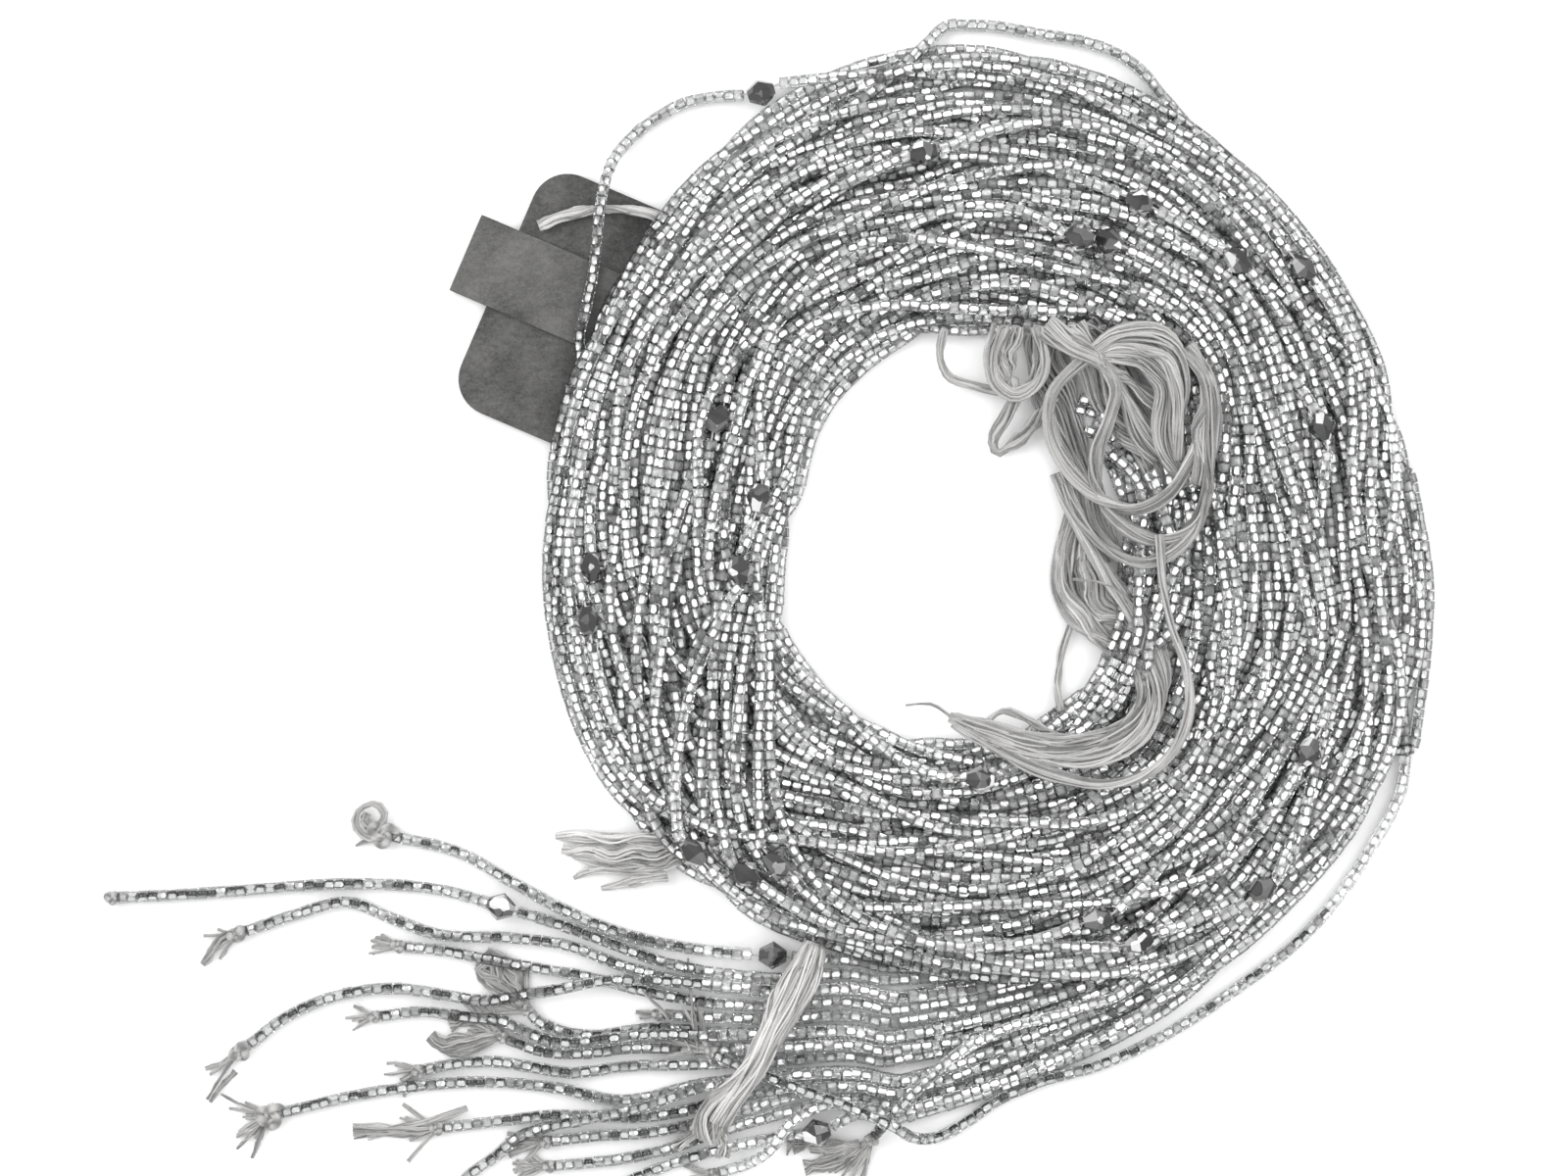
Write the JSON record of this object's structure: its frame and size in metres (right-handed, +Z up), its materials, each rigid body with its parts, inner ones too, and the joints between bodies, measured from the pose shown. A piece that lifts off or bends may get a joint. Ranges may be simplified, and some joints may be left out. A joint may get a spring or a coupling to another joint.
{
  "type": "coiled bead strand hank",
  "caption": "Coiled hank of clear silver-lined seed-bead strands with smoky faceted crystals and knotted thread tails, lying on a square card with a paper band.",
  "frame": {"origin": "centre of the bottom face of the bounding box, on the surface the hank lies on", "axes": "+X runs along the longest side of the hank, from the free tails towards the coil; +Z is up, away from that surface; +Y completes a right-handed frame"},
  "size_m": [0.2326, 0.208, 0.0122],
  "materials": {
    "bead_glass": "clear glass beads with a silvered square hole, strung on thread",
    "smoky_glass": "smoky grey faceted glass",
    "cotton_thread": "matte off-white cotton thread",
    "card_stock": "dark grey fibrous card, matte",
    "band_paper": "dark grey fibrous paper, matte",
    "white_cord": "soft twisted white cord"
  },
  "bodies": {
    "hank": {"card": "card_stock", "coil_bundle_lower_1": "bead_glass", "coil_bundle_lower_2": "bead_glass", "coil_bundle_lower_3": "bead_glass", "coil_bundle_lower_4": "bead_glass", "coil_bundle_upper_1": "bead_glass", "coil_bundle_upper_2": "bead_glass", "coil_bundle_upper_3": "bead_glass", "coil_bundle_upper_4": "bead_glass", "gathered_run_1": "bead_glass", "gathered_run_2": "bead_glass", "gathered_run_3": "bead_glass", "tail_long_upper": "bead_glass", "tail_longest": "bead_glass", "tail_double_knot": "bead_glass", "tail_forked": "bead_glass", "tail_hooked": "bead_glass", "tail_second_hooked": "bead_glass", "tail_inner_short": "bead_glass", "tail_curved": "bead_glass", "tail_frayed_middle": "bead_glass", "tail_round_knot": "bead_glass", "tail_bushy": "bead_glass", "tail_low_knot": "bead_glass", "tail_steep": "bead_glass", "tail_brush_upper": "bead_glass", "tail_brush_lower": "bead_glass", "tail_crystal_lower": "bead_glass", "tail_lowest_short": "bead_glass", "tail_upper_cut": "bead_glass", "tail_over_run": "bead_glass", "tail_outermost": "bead_glass", "stray_loop_upper_left": "bead_glass", "stray_loop_upper_right": "bead_glass", "stray_loop_right": "bead_glass", "tie_thread_tassel": "cotton_thread", "tie_thread_side": "cotton_thread", "tie_thread_hank_upper": "cotton_thread", "tie_thread_hank_lower": "cotton_thread", "card_cord": "white_cord"},
    "band": {"paper_band": "band_paper"},
    "crystal_top_left_body": {"crystal_top_left": "smoky_glass"},
    "crystal_top_inner_body": {"crystal_top_inner": "smoky_glass"},
    "crystal_upper_right_body": {"crystal_upper_right": "smoky_glass"},
    "crystal_right_body": {"crystal_right": "smoky_glass"},
    "crystal_lower_right_body": {"crystal_lower_right": "smoky_glass"},
    "crystal_lower_outer_body": {"crystal_lower_outer": "smoky_glass"},
    "crystal_bottom_inner_body": {"crystal_bottom_inner": "smoky_glass"},
    "crystal_left_outer_body": {"crystal_left_outer": "smoky_glass"},
    "crystal_on_tail_long_upper_body": {"crystal_on_tail_long_upper": "smoky_glass"},
    "crystal_on_tail_longest_body": {"crystal_on_tail_longest": "smoky_glass"},
    "crystal_on_tail_crystal_lower_body": {"crystal_on_tail_crystal_lower": "smoky_glass"},
    "crystal_on_stray_loop_upper_left_body": {"crystal_on_stray_loop_upper_left": "smoky_glass"}
  },
  "joints": [
    {"name": "band_slide", "type": "slide", "parent": "hank", "child": "band", "axis": [0.9191, -0.3939, 0], "range_m": [-0.002, 0.0065]},
    {"name": "turn_top_left", "type": "hinge", "parent": "hank", "child": "crystal_top_left_body", "pos_m": [0.02653, 0.07976, 0.0097], "axis": [-0.9894, -0.1452, 0], "continuous": true},
    {"name": "turn_top_inner", "type": "hinge", "parent": "hank", "child": "crystal_top_inner_body", "pos_m": [0.05359, 0.06502, 0.0097], "axis": [-0.9613, 0.2756, 0], "continuous": true},
    {"name": "turn_upper_right", "type": "hinge", "parent": "hank", "child": "crystal_upper_right_body", "pos_m": [0.08086, 0.06099, 0.0097], "axis": [-0.7431, 0.6691, 0], "continuous": true},
    {"name": "turn_right", "type": "hinge", "parent": "hank", "child": "crystal_right_body", "pos_m": [0.09539, 0.03236, 0.0097], "axis": [-0.2659, 0.964, 0], "continuous": true},
    {"name": "turn_lower_right", "type": "hinge", "parent": "hank", "child": "crystal_lower_right_body", "pos_m": [0.09306, -0.02361, 0.0097], "axis": [0.4782, 0.8783, 0], "continuous": true},
    {"name": "turn_lower_outer", "type": "hinge", "parent": "hank", "child": "crystal_lower_outer_body", "pos_m": [0.08512, -0.04741, 0.0097], "axis": [0.8155, 0.5788, 0], "continuous": true},
    {"name": "turn_bottom_inner", "type": "hinge", "parent": "hank", "child": "crystal_bottom_inner_body", "pos_m": [0.03642, -0.02847, 0.0097], "axis": [0.999, -0.0438, 0], "continuous": true},
    {"name": "turn_left_outer", "type": "hinge", "parent": "hank", "child": "crystal_left_outer_body", "pos_m": [-0.03121, -0.00106, 0.0097], "axis": [0.0603, -0.9982, 0], "continuous": true},
    {"name": "turn_on_tail_long_upper", "type": "hinge", "parent": "hank", "child": "crystal_on_tail_long_upper_body", "pos_m": [0.00061, -0.05954, 0.0025], "axis": [0.9961, -0.0796, -0.037], "continuous": true},
    {"name": "turn_on_tail_longest", "type": "hinge", "parent": "hank", "child": "crystal_on_tail_longest_body", "pos_m": [-0.04679, -0.05104, 0.0025], "axis": [0.9602, -0.279, -0.0108], "continuous": true},
    {"name": "turn_on_tail_crystal_lower", "type": "hinge", "parent": "hank", "child": "crystal_on_tail_crystal_lower_body", "pos_m": [0.00831, -0.09044, 0.0025], "axis": [0.9682, 0.2455, 0.0477], "continuous": true},
    {"name": "turn_on_stray_loop_upper_left", "type": "hinge", "parent": "hank", "child": "crystal_on_stray_loop_upper_left_body", "pos_m": [-0.00139, 0.09096, 0.0025], "axis": [0.9574, 0.2886, 0.0071], "continuous": true}
  ]
}
